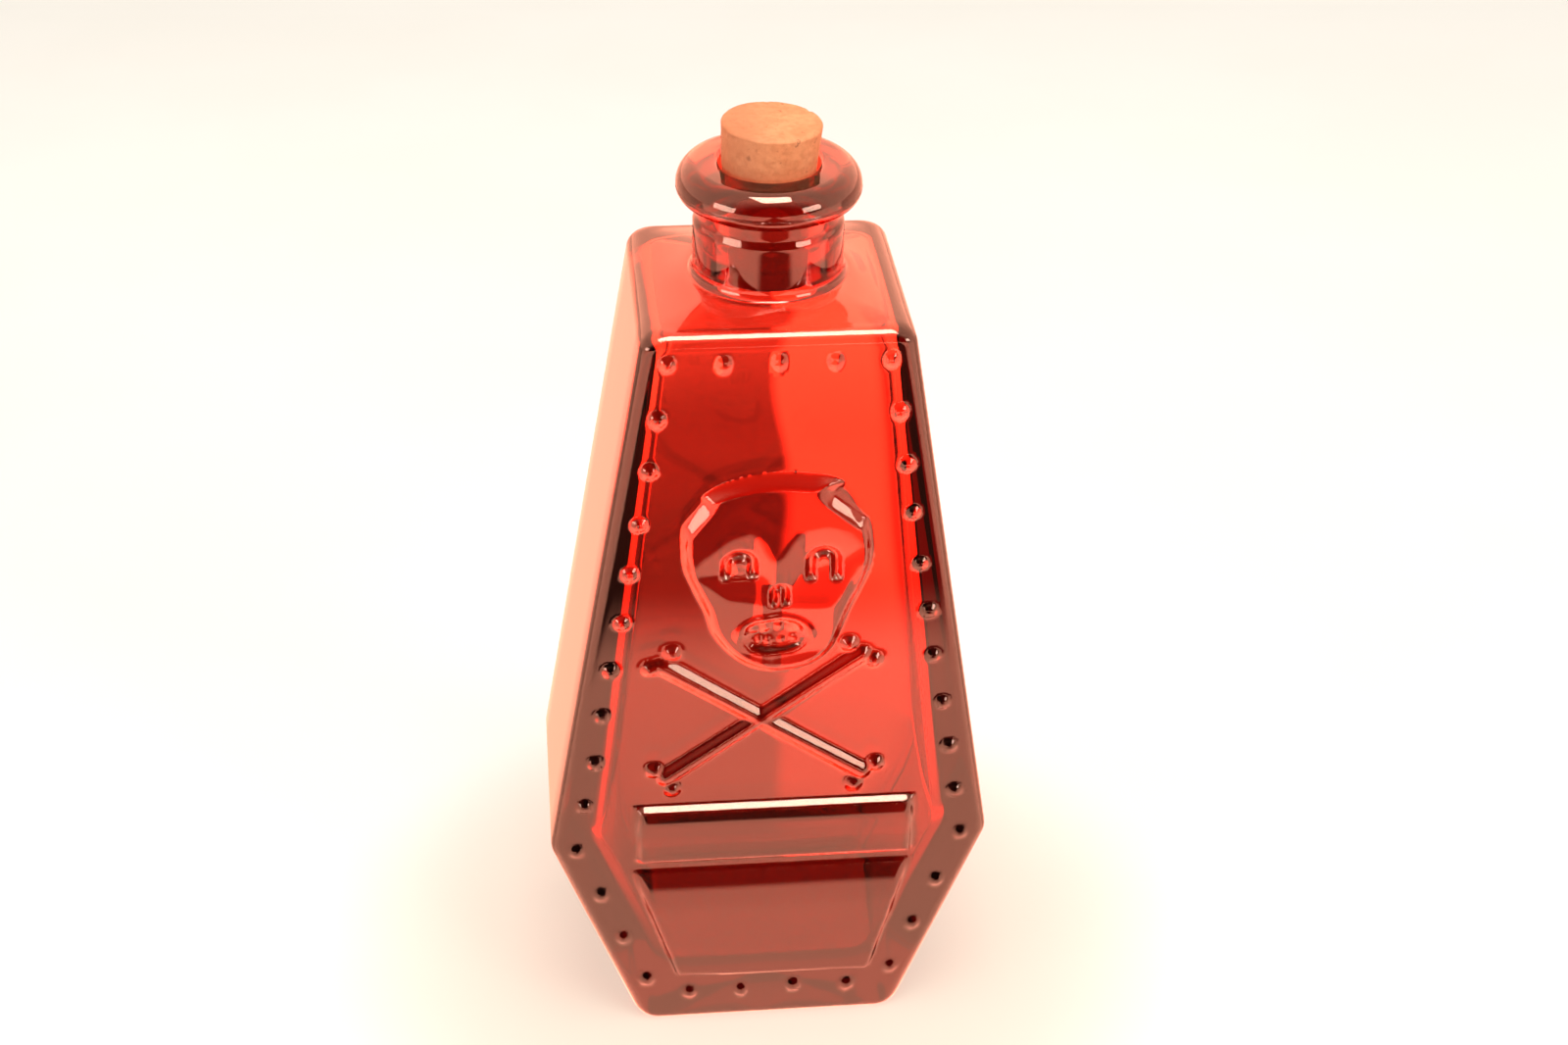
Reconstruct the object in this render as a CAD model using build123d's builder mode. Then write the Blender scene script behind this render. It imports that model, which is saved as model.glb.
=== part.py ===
from build123d import *
import os
from math import cos, radians, sin

# A coffin-shaped glass poison bottle with a tapered cork. Lengths are in millimetres.
# The bottle stands on its base at the origin, with +Z up, and its raised work faces -Y.

# Glass body, seen from the front as a coffin that is widest at its waist
shoulder_width = 21.2
waist_width = 37.9
base_width = 23.0
waist_height = 19.8
shoulder_height = 69.3
body_depth = 20.15
shoulder_corner = 1.6
waist_corner = 2.0
base_corner = 2.2
face_edge = 1.2

# Walls round the hollow, the side walls measured level, and the hollow's own roundings
face_wall = 2.0
side_wall_top = 1.8
side_wall_waist = 3.2
side_wall_floor = 3.4
floor_wall = 4.5
shoulder_wall = 2.5
hollow_corner = 3.0
hollow_edge = 2.6

# Neck, its rolled lip and the rounded edges of the way in
neck_radius = 5.88
neck_height = 10.0
neck_foot = 1.2
lip_radius = 7.32
lip_thickness = 3.3
lip_top_share = 0.545
lip_under_share = 0.4
mouth_round = 0.7
throat_round = 1.5

# Tapered cork, and the gap between it and the bore that it seats in
cork_length = 12.7
cork_top_radius = 4.0
cork_tip_radius = 3.2
cork_proud = 3.3
cork_edge = 0.25
cork_gap = 0.03

# Nail heads in a row inside the edge of the front face
nail_radius = 0.69
nail_rise = 0.45
nail_inset = 2.35
nail_base_inset = 3.15
nail_foot_share = 0.245
nail_base_share = 0.305
long_side_count = 11
foot_side_count = 3
top_count = 5
base_count = 4

# Skull, with its outline in shares of its width and height from the middle of the chin
skull_width = 15.4
skull_tall = 19.1
skull_rise = 1.0
skull_rim = 0.45
skull_shift = 0.1
skull_place_share = 0.368
skull_outline_shares = [
    (0.0, 1.0), (-0.31, 0.945), (-0.465, 0.81), (-0.5, 0.66), (-0.447, 0.459), (-0.375, 0.32),
    (-0.29, 0.16), (-0.13, 0.03), (0.02, 0.0), (0.21, 0.04), (0.335, 0.18), (0.42, 0.37),
    (0.5, 0.6), (0.465, 0.78), (0.3, 0.95),
]

# Sockets of the face, with their middles in shares of the skull's width and height
eye_width = 3.0
eye_tall = 3.6
nose_width = 1.9
nose_tall = 2.7
mouth_width = 5.2
mouth_tall = 3.0
socket_depth = 0.6
eyeball_radius = 0.55
tooth_radius = 0.5
teeth_count = 4
bite_share = 0.2
eye_place_shares = [(-0.2, 0.575), (0.255, 0.55)]
nose_place_share = (0.035, 0.39)
mouth_place_share = (0.02, 0.17)

# Crossed bones under the skull
bone_length = 20.3
bone_radius = 0.75
bone_angle = 35.5
bones_shift = -0.8
bones_place_share = 0.275
knob_radius = 0.95
knob_spread = 0.9

# Bare name plate across the waist and bare panel below it
plate_width = 23.9
plate_tall = 5.65
plate_rise = 0.7
plate_round = 0.5
plate_shift = 0.35
plate_place_share = 0.03
panel_top_width = 24.4
panel_foot_width = 17.3
panel_tall = 11.9
panel_shift = 0.2
panel_place_share = 0.572

# Values that follow from the sizes above
mouth_height = shoulder_height + neck_height
cork_top_height = mouth_height + cork_proud
cork_tip_height = cork_top_height - cork_length
hollow_top = shoulder_height - shoulder_wall
flank_height = shoulder_height - waist_height
cork_taper = (cork_top_radius - cork_tip_radius) / cork_length
nail_ball = (nail_radius**2 + nail_rise**2) / (2 * nail_rise)
foot_room = min(body_depth / 2 - face_edge, shoulder_width / 2 - shoulder_corner) - neck_radius
front_face = Plane.XZ.offset(body_depth / 2)


def half_width(height):
    """Half the body's width at a height, on straight lines from base to waist to shoulder."""
    if height < waist_height:
        return (base_width + (waist_width - base_width) * height / waist_height) / 2
    share = (height - waist_height) / flank_height
    return (waist_width + (shoulder_width - waist_width) * share) / 2


def bore_radius(height):
    """Radius of the bore, which keeps one gap to the cork all the way down its taper."""
    return cork_top_radius - cork_taper * (cork_top_height - height) + cork_gap


def row(start, end, count):
    """Places in equal steps from one point to another, both ends included."""
    step = (end - start) / (count - 1)
    return [start + step * index for index in range(count)]


def on_front(place, sunk):
    """A point seen from the front as (x, z), a given depth below the surface of the front face."""
    return (place.X, sunk - body_depth / 2, place.Y)


def skull_point(shares):
    """A point of the skull, from its shares of width and height."""
    return Vector(skull_shift + shares[0] * skull_width, skull_foot + shares[1] * skull_tall)


def coffin(top, waist, foot, waist_at, top_at, foot_at):
    """Six corners of a coffin from its half widths and their heights, from the left foot round."""
    right = [(foot, foot_at), (waist, waist_at), (top, top_at)]
    return [(-x, z) for x, z in right] + right[::-1]


skull_foot = waist_height + flank_height * skull_place_share
plate_middle = Vector(plate_shift, waist_height + flank_height * plate_place_share)
panel_middle = Vector(panel_shift, waist_height * panel_place_share)
bones_middle = Vector(bones_shift, waist_height + flank_height * bones_place_share)

# Rows of nails: across the top, down both long sides and foot sides, and along the base
top_right = Vector(half_width(shoulder_height - nail_inset) - nail_inset,
                   shoulder_height - nail_inset)
waist_right = Vector(waist_width / 2 - nail_inset, waist_height)
foot_height = waist_height * nail_foot_share
foot_right = Vector(half_width(foot_height) - nail_inset, foot_height)
base_right = Vector(base_width * nail_base_share, nail_base_inset)
right_nails = row(top_right, waist_right, long_side_count)
right_nails += row(waist_right, foot_right, foot_side_count + 1)[1:]
nails = right_nails + [Vector(-place.X, place.Y) for place in right_nails]
nails += row(Vector(-top_right.X, top_right.Y), top_right, top_count)[1:-1]
nails += row(Vector(-base_right.X, base_right.Y), base_right, base_count)

os.makedirs("parts", exist_ok=True)

with BuildPart() as glass_bottle:
    # Solid coffin block with rounded corners and edges
    with BuildSketch(Plane.XZ.offset(-body_depth / 2)):
        Polygon(*coffin(shoulder_width / 2, waist_width / 2, base_width / 2,
                        waist_height, shoulder_height, 0), align=None)
        fillet(vertices().group_by(Axis.Y)[0], base_corner)
        fillet(vertices().group_by(Axis.Y)[-1], shoulder_corner)
        fillet([vertices().sort_by(Axis.X)[0], vertices().sort_by(Axis.X)[-1]], waist_corner)
    extrude(amount=body_depth)
    fillet(faces().sort_by(Axis.Y)[0].edges() + faces().sort_by(Axis.Y)[-1].edges(), face_edge)

    # Neck with a rounded foot on the shoulder
    with BuildSketch(Plane.XY.offset(hollow_top)):
        Circle(neck_radius)
    extrude(amount=mouth_height - lip_thickness / 2 - hollow_top)
    fillet(edges(Select.LAST).filter_by(GeomType.CIRCLE).sort_by(Axis.Z)[0],
           min(neck_foot, foot_room))

    # Rolled lip round the top of the neck
    with BuildSketch(Plane.XZ):
        with Locations((0, mouth_height - lip_thickness)):
            Rectangle(lip_radius, lip_thickness, align=Align.MIN)
        under, top = vertices().group_by(Axis.X)[-1].sort_by(Axis.Y)
        fillet(under, lip_thickness * lip_under_share)
        fillet(top, lip_thickness * lip_top_share)
    revolve(axis=Axis.Z)

    # Hollow of the body, a smaller coffin with well rounded corners
    with BuildSketch(Plane.XZ.offset(face_wall - body_depth / 2)):
        Polygon(*coffin(half_width(hollow_top) - side_wall_top,
                        half_width(waist_height) - side_wall_waist,
                        half_width(floor_wall) - side_wall_floor,
                        waist_height, hollow_top, floor_wall), align=None)
        fillet(vertices(), hollow_corner)
    hollow = extrude(amount=body_depth - 2 * face_wall, mode=Mode.PRIVATE)
    hollow = hollow.fillet(hollow_edge, hollow.faces().sort_by(Axis.Y)[0].edges()
                           + hollow.faces().sort_by(Axis.Y)[-1].edges())
    add(hollow, mode=Mode.SUBTRACT)

    # Bore through the neck, flared into the hollow below and rounded at the mouth above
    throat_height = hollow_top + throat_round
    rim_height = mouth_height - mouth_round
    with BuildSketch(Plane.XZ):
        with BuildLine():
            wall = Line((bore_radius(throat_height), throat_height),
                        (bore_radius(rim_height), rim_height))
            rim = RadiusArc(wall @ 1, wall @ 1 + Vector(mouth_round, mouth_round), mouth_round)
            throat = RadiusArc(wall @ 0 + Vector(throat_round, -throat_round), wall @ 0, throat_round)
            below = throat @ 0 - Vector(0, throat_round)
            Polyline(rim @ 1, (0, mouth_height), (0, below.Y), below, throat @ 0)
        make_face()
    revolve(axis=Axis.Z, mode=Mode.SUBTRACT)

    # Row of round nail heads inside the edge of the front face
    with Locations(*[on_front(place, nail_ball - nail_rise) for place in nails]):
        Sphere(nail_ball)

    # Crossed bones, half sunk in the face, with two knobs at each end
    for slant in (-bone_angle, bone_angle):
        along = Vector(cos(radians(slant)), sin(radians(slant)))
        across = Vector(-along.Y, along.X)
        ends = [bones_middle + along * (bone_length / 2 * side) for side in (-1, 1)]
        with BuildSketch(Plane(on_front(ends[0], 0), z_dir=(along.X, 0, along.Y))):
            Circle(bone_radius)
        extrude(amount=bone_length)
        knobs = [end + across * (knob_spread * side) for end in ends for side in (-1, 1)]
        with Locations(*[on_front(knob, 0) for knob in knobs]):
            Sphere(knob_radius)

    # Bare plate at the waist and bare panel at the foot
    for middle, foot_width, top_width, tall in (
        (plate_middle, plate_width, plate_width, plate_tall),
        (panel_middle, panel_foot_width, panel_top_width, panel_tall),
    ):
        with BuildSketch(front_face):
            with Locations(middle):
                Polygon((-foot_width / 2, -tall / 2), (foot_width / 2, -tall / 2),
                        (top_width / 2, tall / 2), (-top_width / 2, tall / 2), align=None)
        raised = extrude(amount=plate_rise, mode=Mode.PRIVATE)
        raised = raised.fillet(plate_round, raised.faces().sort_by(Axis.Y)[0].edges())
        add(raised)

    # Skull, a raised pad with a rounded rim
    with BuildSketch(front_face):
        with BuildLine():
            Spline(*[skull_point(shares) for shares in skull_outline_shares], periodic=True)
        make_face()
    skull = extrude(amount=skull_rise, mode=Mode.PRIVATE)
    skull = skull.fillet(skull_rim, skull.faces().sort_by(Axis.Y)[0].edges())
    add(skull)

    # Sockets of the face, cut into the pad
    with BuildSketch(front_face.offset(skull_rise)):
        for place in eye_place_shares:
            with Locations(skull_point(place)):
                Ellipse(eye_width / 2, eye_tall / 2)
        with Locations(skull_point(nose_place_share)):
            Ellipse(nose_width / 2, nose_tall / 2)
        with Locations(skull_point(mouth_place_share)):
            Ellipse(mouth_width / 2, mouth_tall / 2)
    extrude(amount=-socket_depth, mode=Mode.SUBTRACT)

    # Eyeballs and two rows of teeth left standing in the sockets
    pad_floor = skull_rise - socket_depth
    with Locations(*[on_front(skull_point(place), -pad_floor) for place in eye_place_shares]):
        Sphere(eyeball_radius)
    mouth_middle = skull_point(mouth_place_share)
    bite = Vector(0, mouth_tall * bite_share)
    gums = Vector(mouth_width / 2 - 2 * tooth_radius, 0)
    for lift in (-bite, bite):
        teeth = row(mouth_middle + lift - gums, mouth_middle + lift + gums, teeth_count)
        with Locations(*[on_front(tooth, -pad_floor) for tooth in teeth]):
            Sphere(tooth_radius)

glass_bottle.part.label = "glass_bottle"
export_step(glass_bottle.part, "parts/glass_bottle.step")

with BuildPart() as cork_stopper:
    # Tapered plug, narrow end down, with both rims slightly rubbed
    with BuildSketch(Plane.XY.offset(cork_tip_height)):
        Circle(cork_tip_radius)
    with BuildSketch(Plane.XY.offset(cork_top_height)):
        Circle(cork_top_radius)
    loft(ruled=True)
    fillet(edges().filter_by(GeomType.CIRCLE), cork_edge)

cork_stopper.part.label = "cork_stopper"
export_step(cork_stopper.part, "parts/cork_stopper.step")
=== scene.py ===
import bpy
import numpy as np
from mathutils import Matrix, Vector


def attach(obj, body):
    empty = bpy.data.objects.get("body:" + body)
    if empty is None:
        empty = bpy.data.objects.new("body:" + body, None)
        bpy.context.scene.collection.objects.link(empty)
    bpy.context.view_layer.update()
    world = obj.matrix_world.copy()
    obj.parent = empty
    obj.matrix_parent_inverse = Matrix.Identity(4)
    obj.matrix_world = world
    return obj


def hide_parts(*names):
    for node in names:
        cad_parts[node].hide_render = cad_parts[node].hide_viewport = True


# A coffin-shaped bottle in ruby moulded glass, with a raised skull and crossed bones and a cork.
# Shapes are worked out in millimetres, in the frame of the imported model, and put in as metres.
# x runs across the front, y from the front to the back, and z is the height.
MM = 0.001

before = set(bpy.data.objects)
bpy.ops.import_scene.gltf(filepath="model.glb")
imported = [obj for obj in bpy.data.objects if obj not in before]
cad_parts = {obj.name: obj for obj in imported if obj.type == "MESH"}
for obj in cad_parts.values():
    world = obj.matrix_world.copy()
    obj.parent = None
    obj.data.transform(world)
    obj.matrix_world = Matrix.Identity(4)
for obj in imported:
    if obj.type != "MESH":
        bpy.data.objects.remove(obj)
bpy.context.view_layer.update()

# The glass body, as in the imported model
shoulder_width, waist_width, base_width = 21.2, 37.9, 23.0
waist_height, shoulder_height, body_depth = 19.8, 69.3, 20.15
shoulder_corner, waist_corner, base_corner, face_edge = 1.6, 2.0, 2.2, 1.2
foot_edge, back_edge = 0.6, 0.5

# Its hollow, which fills out sharply under the shoulder and rounds off towards the base. The base
# is slightly hollow underneath, and the floor of the hollow rises a little in its middle.
face_wall, face_wall_top = 2.0, 1.6
side_wall_top, side_wall_waist, side_wall_floor = 1.45, 3.2, 3.4
floor_wall, shoulder_wall, base_rise, floor_rise = 4.5, 1.3, 0.4, 0.25
hollow_top_corner, hollow_corner, hollow_top_edge, hollow_edge = 1.2, 3.0, 0.6, 2.6

# Neck, rolled lip and bore. The shoulder swells up a little to the neck, whose foot is curved. The
# neck is wider below a low step, and its mouth and the bore's lower end are rounded.
neck_radius, neck_height, shoulder_swell = 5.74, 10.0, 0.75
neck_foot_reach, neck_foot_rise, ceiling_rise = 0.5, 0.85, 0.8
lip_radius, lip_thickness, lip_under_round = 7.32, 3.0, 1.1
lip_top_width, lip_top_drop = 1.6, 1.9
mouth_round, throat_round = 0.7, 1.5
step_rise, step_height, step_reach = 0.26, 74.7, 0.85

# Cork
cork_length, cork_top_radius, cork_tip_radius, cork_proud = 12.7, 4.0, 3.2, 3.3
cork_gap, cork_rim, cork_shave = 0.03, 0.3, 0.02
cork_slant, cork_shift, pit_count = 0.034, (0.2, 0.3), 90
cork_taper = (cork_top_radius - cork_tip_radius) / cork_length

mouth_height = shoulder_height + neck_height
cork_top_height = mouth_height + cork_proud
hollow_top = shoulder_height - shoulder_wall


def bore_radius(height):
    """Radius of the bore at a height: the cork's taper and its gap."""
    return cork_top_radius - cork_taper * (cork_top_height - height) + cork_gap


def half_width(height):
    """Half the body's width at a height, on straight lines from base to waist to shoulder."""
    return np.interp(height, (0, waist_height, shoulder_height),
                     (base_width / 2, waist_width / 2, shoulder_width / 2))


# Curves and profiles
def smooth(share):
    """Rises from 0 to 1 as a share does, level at both ends: 3 s^2 - 2 s^3."""
    share = np.clip(share, 0, 1)
    return share * share * (3 - 2 * share)


def hump(distance, radius, power=0.75):
    """A rounded ridge at a distance from its middle: (1 - (d / r)^2)^power inside the radius."""
    return np.clip(1 - (distance / radius)**2, 0, 1)**power


def blob(x, z, middle, reach):
    """A soft round swelling in two directions: exp(-(dx / rx)^2 - (dz / rz)^2)."""
    return np.exp(-((x - middle[0]) / reach[0])**2 - ((z - middle[1]) / reach[1])**2)


def spread(rows, unit=1.0):
    """Values from the first row's to the last's, spaced as the rows (value, spacing) say.

    The count of values up to a place is the sum of 1 / spacing, taken over a fine division.
    """
    stops, spacings = zip(*rows)
    fine = np.linspace(stops[0], stops[-1], 4000)
    counts = np.cumsum(np.diff(fine) / np.interp(fine[1:], stops, spacings))
    counts = np.concatenate(([0], counts)) / unit
    return np.interp(np.linspace(0, counts[-1], int(round(counts[-1])) + 1), counts, fine)


def arc(middle, radius, start, end, count):
    """Points (across, up) on a circle, from one angle in degrees to another."""
    angles = np.radians(np.linspace(start, end, count))
    return np.stack((middle[0] + radius * np.cos(angles), middle[1] + radius * np.sin(angles)), 1)


def coffin_half_width(heights, foot, waist, top, corners):
    """Half width at each height of a coffin given as three corners (half width, height).

    On the straight flanks it is linear. Near a corner it follows the circle that is tangent to
    both sides there, whose middle solves: distance to each side = radius.
    """
    def flank(low, high):
        along = np.subtract(high, low) / np.hypot(*np.subtract(high, low))
        outward = np.array((along[1], -along[0]))
        return outward, outward @ low

    sides = [(np.array((0, -1.0)), -foot[1]), flank(foot, waist),
             flank(waist, top), (np.array((0, 1.0)), top[1])]
    wide = np.interp(heights, (foot[1], waist[1], top[1]), (foot[0], waist[0], top[0]))
    for (side_a, reach_a), (side_b, reach_b), radius in zip(sides[:-1], sides[1:], corners):
        middle = np.linalg.solve(np.stack((side_a, side_b)), (reach_a - radius, reach_b - radius))
        low, high = middle[1] + radius * side_a[1], middle[1] + radius * side_b[1]
        round_part = middle[0] + np.sqrt(np.clip(radius**2 - (heights - middle[1])**2, 0, None))
        wide = np.where((heights >= low) & (heights <= high), round_part, wide)
    return wide


def edge_depth(heights, low, high, depth, foot_round, top_round):
    """Half depth at each height of a slab whose bottom and top edges are rounded."""
    deep = np.full_like(heights, depth)
    edges = ((heights - (high - top_round), top_round), (low + foot_round - heights, foot_round))
    for past, radius in edges:
        deep += np.sqrt(np.clip(radius**2 - np.clip(past, 0, None)**2, 0, None)) - radius
    return deep


# Rings of points round the body
def ring_columns(front, band, back, side, corner):
    """Weights of the points of a rounded rectangle, ccw from its front left corner.

    A point is x = ax * half width + bx * corner radius + cx, and y = ay * half depth + by * corner
    radius. The front has points at the given shares of its width between two bands, and points
    at the band's distances, so that the bands keep their width. The other sides have equal steps.
    """
    rows = []
    reach = band[-1] if len(band) else 0.0
    for step in band[:-1]:
        rows.append((-1, 1, step, -1, 0))
    for share in front:
        rows.append((share, -share, -share * reach, -1, 0))
    for step in band[-2::-1]:
        rows.append((1, -1, -step, -1, 0))
    quarter = np.linspace(0, np.pi / 2, corner + 1)[1:]
    for turn in quarter:
        rows.append((1, np.sin(turn) - 1, 0, -1, 1 - np.cos(turn)))
    for share in np.linspace(-1, 1, side + 1)[1:]:
        rows.append((1, 0, 0, share, -share))
    for turn in quarter:
        rows.append((1, np.cos(turn) - 1, 0, 1, np.sin(turn) - 1))
    for share in np.linspace(1, -1, back + 1)[1:]:
        rows.append((share, -share, 0, 1, 0))
    for turn in quarter:
        rows.append((-1, 1 - np.sin(turn), 0, 1, np.cos(turn) - 1))
    for share in np.linspace(1, -1, side + 1)[1:]:
        rows.append((-1, 0, 0, share, -share))
    for turn in quarter[:-1]:
        rows.append((-1, 1 - np.cos(turn), 0, -1, 1 - np.sin(turn)))
    return np.array(rows).T


def rings(columns, wide, deep, corner, heights):
    """Points of a stack of rounded rectangles, one row for each height, as (rows, columns, 3)."""
    wide, deep, corner = (np.reshape(values, (-1, 1)) for values in (wide, deep, corner))
    x = wide * columns[0] + corner * columns[1] + columns[2]
    y = deep * columns[3] + corner * columns[4]
    z = np.broadcast_to(np.reshape(heights, (-1, 1)), x.shape)
    return np.stack((x, y, z), 2)


def turned(profile, angles):
    """Points of a profile (radius, height) carried round +Z to each angle."""
    x = profile[:, :1] * np.cos(angles)
    y = profile[:, :1] * np.sin(angles)
    return np.stack((x, y, np.broadcast_to(profile[:, 1:], x.shape)), 2)


def grid_faces(rows, columns, first):
    """Quads of a grid that closes round, facing outwards where rows go up a ccw ring."""
    row, column = np.meshgrid(np.arange(rows - 1), np.arange(columns), indexing="ij")
    after = (column + 1) % columns
    quads = (row * columns + column, row * columns + after,
             (row + 1) * columns + after, (row + 1) * columns + column)
    return np.stack(quads, 2).reshape(-1, 4) + first


def fan_faces(ring, pole, closes_below):
    """Triangles from a pole to a ring, the pole before the ring or after it."""
    after = np.roll(ring, -1)
    middle = np.full_like(ring, pole)
    return np.stack((middle, after, ring) if closes_below else (ring, after, middle), 1)


def zip_faces(outer, outer_angles, inner, inner_angles):
    """Triangles between two rings with different counts, merged by angle, facing up.

    Each edge of one ring is joined to the point of the other that the merged order has reached.
    """
    def turned_order(angles):
        around = np.mod(angles, 2 * np.pi)
        order = np.argsort(around)
        around = around[order]
        after = np.append(around[1:], around[0] + 2 * np.pi)
        return order, (around + after) / 2

    outer_order, outer_steps = turned_order(outer_angles)
    inner_order, inner_steps = turned_order(inner_angles)
    outer, inner = outer[outer_order], inner[inner_order]
    reached_in = inner[np.searchsorted(inner_steps, outer_steps) % len(inner)]
    reached_out = outer[np.searchsorted(outer_steps, inner_steps) % len(outer)]
    return np.concatenate((np.stack((outer, np.roll(outer, -1), reached_in), 1),
                           np.stack((reached_out, np.roll(inner, -1), inner), 1)))


def mesh_piece(name, points, quads, triangles):
    """A smooth mesh object at the origin, from points in millimetres, quads and triangles."""
    mesh = bpy.data.meshes.new(name)
    corners = np.concatenate((quads.ravel(), triangles.ravel())).astype(np.int32)
    sizes = np.concatenate((np.full(len(quads), 4), np.full(len(triangles), 3)))
    mesh.vertices.add(len(points))
    mesh.vertices.foreach_set("co", (points * MM).astype(np.float32).ravel())
    mesh.loops.add(len(corners))
    mesh.loops.foreach_set("vertex_index", corners)
    mesh.polygons.add(len(sizes))
    starts = np.concatenate(([0], np.cumsum(sizes)[:-1])).astype(np.int32)
    mesh.polygons.foreach_set("loop_start", starts)
    mesh.update(calc_edges=True)
    mesh.polygons.foreach_set("use_smooth", np.ones(len(sizes), bool))
    mesh.validate()
    piece = bpy.data.objects.new(name, mesh)
    bpy.context.scene.collection.objects.link(piece)
    return piece


# Raised work of the front face, as heights above the face at points (x, z)
relief_limit = 0.99

# The skull: its outline, rim, dome and chin
skull_rim, skull_dome, chin_height, chin_rise = 0.76, 0.14, 40.2, 1.4
skull_outline = np.array([
    (-0.3, 57.1), (-2.6, 56.8), (-4.9, 55.95), (-6.3, 54.65), (-7.25, 53.2), (-7.56, 51.0),
    (-7.35, 48.4), (-6.6, 46.2), (-5.75, 44.2), (-5.15, 42.1), (-4.0, 40.3), (-2.5, 38.9),
    (-1.0, 38.2), (0.5, 38.0), (2.1, 38.25), (3.7, 39.0), (4.9, 40.4), (5.5, 42.0),
    (6.3, 44.3), (7.2, 46.5), (7.75, 48.8), (7.7, 51.0), (7.2, 52.9), (6.45, 54.6),
    (5.4, 55.95), (4.0, 56.6), (1.9, 57.0),
])

# Lines across the skull (x, height): where the brow, the sockets and the cheeks change slope
brow_line = ((-7.2, -6.0, -3.8, -1.9, -1.2, -0.7, -0.1, 0.6, 1.3, 2.0, 4.1, 6.2, 7.4),
             (47.6, 49.6, 51.5, 52.2, 51.2, 49.8, 49.1, 49.6, 51.0, 52.1, 52.5, 51.9, 50.0))
socket_line = ((-6.5, -5.5, -3.3, -1.0, -0.4, 0.3, 1.1, 2.3, 4.0, 5.5, 7.0),
               (47.9, 47.9, 47.9, 47.6, 46.2, 45.3, 46.2, 47.8, 48.3, 48.9, 50.0))
cheek_line = ((-6.2, -4.0, -1.1, 0.3, 1.4, 2.1, 4.6, 5.6, 6.5),
              (47.6, 45.8, 45.2, 44.7, 44.7, 44.7, 44.7, 46.2, 48.7))

# Grooves of both eyes and the nose: middle, radius, length of the legs, reach and depth
left_eye, right_eye, nose = (-3.0, 48.75), (3.85, 48.9), (0.3, 45.95)
grooves = ((left_eye, 1.1, 0.85, 0.6, 0.56), (right_eye, 1.05, 1.4, 0.6, 0.54),
           (nose, 0.5, 0.8, 0.48, 0.52))

# The mouth's middle, half sizes and depth, the lips' half sizes, and the teeth (x, height, radius)
mouth_middle, mouth_size, mouth_depth, tooth_rise = (-0.05, 41.8), (2.75, 1.75), 0.62, 0.24
lips_size = (2.75, 1.8)
teeth = ((-1.7, 42.3, 0.5), (-0.7, 42.55, 0.6), (0.4, 42.5, 0.55), (1.4, 42.4, 0.6),
         (-1.3, 41.2, 0.4), (-0.5, 41.0, 0.5), (0.55, 41.1, 0.45), (1.5, 41.3, 0.4))

# Crossed bones, from end to end, with two knobs at each end
bone_rise, bone_reach, bone_flare, knob_reach = 0.6, 0.98, 0.12, 1.0
bone_ends = (((-9.2, 38.9), (7.6, 27.2)), ((7.3, 39.3), (-9.0, 27.4)))
knobs = ((-10.2, 38.7), (-8.4, 40.2), (8.8, 27.9), (7.0, 25.9),
         (6.2, 40.4), (8.3, 38.7), (-10.0, 28.2), (-8.5, 26.2))

# Bare plates: corners from the lower left one, height, widths of the bevels from the bottom one
# round to the left one, and how much and how far the slab still rises below its top edge
plates = (
    (((-11.6, 18.45), (12.3, 18.45), (12.3, 24.5), (-11.6, 24.5)),
     0.56, (0.4, 0.42, 0.46, 0.42), 0.38, 1.75),
    (((-8.3, 5.4), (9.05, 5.05), (12.4, 17.6), (-12.2, 17.55)),
     0.08, (0.42, 0.45, 0.4, 0.45), 0.88, 4.0),
)

# Nail heads, in rows inside the edge of the face
nail_inset, nail_foot_height, nail_base_inset, nail_base_reach = 2.35, 4.85, 3.15, 7.0
long_nails, foot_nails, top_nails, base_nails = 11, 3, 5, 4
nail_radius, nail_rise, worn_rise, nail_drift = 0.74, 0.46, 0.28, 0.14


def closed_curve(points, count):
    """Even points on a closed smooth curve through the given ones (Catmull-Rom spans)."""
    share = np.linspace(0, 1, count, endpoint=False)[None, :, None]
    before, start, end, after = (np.roll(points, shift, 0)[:, None] for shift in (1, 0, -1, -2))
    curve = 0.5 * (2 * start + (end - before) * share
                   + (2 * before - 5 * start + 4 * end - after) * share**2
                   + (3 * start - before - 3 * end + after) * share**3)
    return curve.reshape(-1, 2)


def depth_inside(x, z, outline):
    """Distance of each point to a closed outline, above 0 inside it and below 0 outside."""
    low, high = outline, np.roll(outline, -1, 0)
    along = high - low
    length = (along**2).sum(1)
    nearest = np.full(x.shape, np.inf)
    crossings = np.zeros(x.shape, int)
    for index in range(len(low)):
        dx, dz = x - low[index, 0], z - low[index, 1]
        share = np.clip((dx * along[index, 0] + dz * along[index, 1]) / length[index], 0, 1)
        gap = np.hypot(dx - share * along[index, 0], dz - share * along[index, 1])
        nearest = np.minimum(nearest, gap)
        spans = (low[index, 1] > z) != (high[index, 1] > z)
        rise = along[index, 1] if along[index, 1] else 1.0
        crossings += spans & (dx < dz * along[index, 0] / rise)
    return np.where(crossings % 2 == 1, nearest, -nearest)


def ramp(share):
    """Rises evenly from 0 to 1 as a share does, with a short rounding at both ends."""
    share = np.clip(share, -0.3, 1.3)
    rise = (np.sqrt(share**2 + 0.01) - np.sqrt((share - 1)**2 + 0.01)) / 2 + 0.5
    return np.clip((rise - 0.01) / 0.98, 0, 1)


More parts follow.
